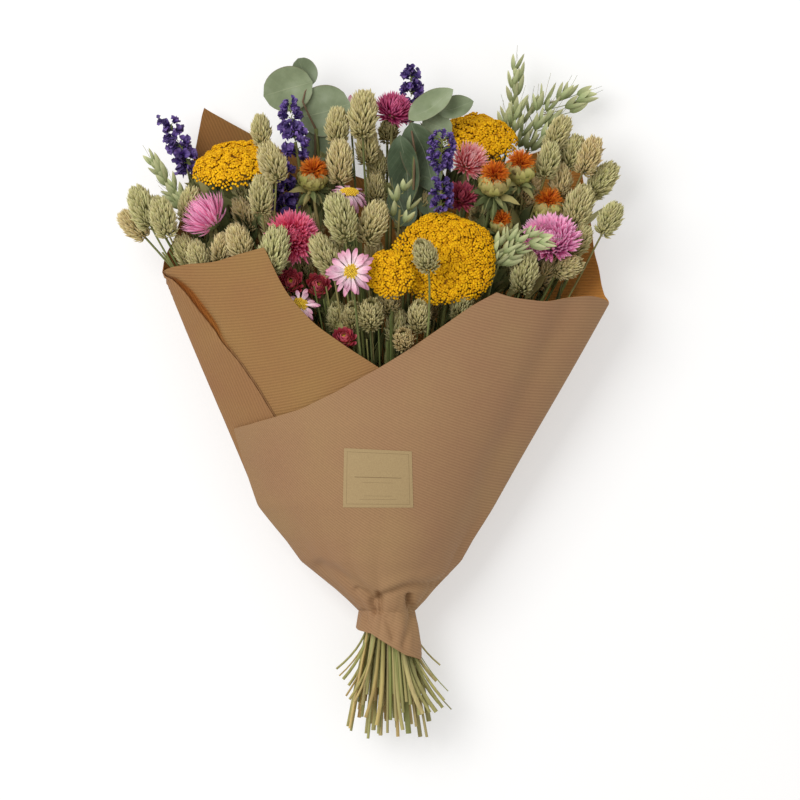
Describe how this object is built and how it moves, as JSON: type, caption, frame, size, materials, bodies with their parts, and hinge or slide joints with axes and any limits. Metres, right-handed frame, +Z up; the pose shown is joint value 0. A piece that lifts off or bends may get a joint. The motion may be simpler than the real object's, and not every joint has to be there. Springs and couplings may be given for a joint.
{
  "type": "mixed flower bouquet",
  "caption": "Dried mixed flower bouquet wound in a cone of ribbed kraft paper with a plain sticker, lying on its back.",
  "frame": {"origin": "on the surface that the bouquet lies on, under the middle of its overall box", "axes": "+Y from the cut stems to the flowers, +Z up out of the front of the bouquet, +X to the right of it"},
  "size_m": [0.4013, 0.5532, 0.1693],
  "materials": {
    "canary_grass": "dry, straw green",
    "eucalyptus": "matt, grey green",
    "kraft_paper": "ribbed brown kraft paper, slight sheen",
    "larkspur": "dry, deep violet blue",
    "oat": "dry, grey green",
    "paper_daisy": "papery, pale pink with a yellow middle",
    "safflower": "dry, orange brush on a pale green bulb",
    "raffia": "dry raffia",
    "sticker_paper": "smooth beige paper",
    "strawflower": "papery, pink to dark red",
    "yarrow": "dry, golden yellow"
  },
  "bodies": {
    "root": {"canary_grass_01": "canary_grass", "canary_grass_02": "canary_grass", "canary_grass_03": "canary_grass", "canary_grass_04": "canary_grass", "canary_grass_05": "canary_grass", "canary_grass_06": "canary_grass", "canary_grass_07": "canary_grass", "canary_grass_08": "canary_grass", "canary_grass_09": "canary_grass", "canary_grass_10": "canary_grass", "canary_grass_11": "canary_grass", "canary_grass_12": "canary_grass", "canary_grass_13": "canary_grass", "canary_grass_14": "canary_grass", "canary_grass_15": "canary_grass", "canary_grass_16": "canary_grass", "canary_grass_17": "canary_grass", "canary_grass_18": "canary_grass", "canary_grass_19": "canary_grass", "canary_grass_20": "canary_grass", "canary_grass_21": "canary_grass", "canary_grass_22": "canary_grass", "canary_grass_23": "canary_grass", "eucalyptus_01": "eucalyptus", "eucalyptus_02": "eucalyptus", "kraft_wrapper": "kraft_paper", "larkspur_01": "larkspur", "larkspur_02": "larkspur", "larkspur_03": "larkspur", "larkspur_04": "larkspur", "larkspur_05": "larkspur", "oat_01": "oat", "oat_02": "oat", "oat_03": "oat", "oat_04": "oat", "oat_05": "oat", "paper_daisy_01": "paper_daisy", "paper_daisy_02": "paper_daisy", "paper_daisy_03": "paper_daisy", "paper_daisy_04": "paper_daisy", "safflower_01": "safflower", "safflower_02": "safflower", "safflower_03": "safflower", "safflower_04": "safflower", "safflower_05": "safflower", "stem_tie": "raffia", "sticker": "sticker_paper", "strawflower_01": "strawflower", "strawflower_02": "strawflower", "strawflower_03": "strawflower", "strawflower_04": "strawflower", "strawflower_05": "strawflower", "strawflower_06": "strawflower", "strawflower_07": "strawflower", "strawflower_08": "strawflower", "strawflower_09": "strawflower", "yarrow_01": "yarrow", "yarrow_02": "yarrow", "yarrow_03": "yarrow", "yarrow_04": "yarrow"}
  },
  "joints": []
}
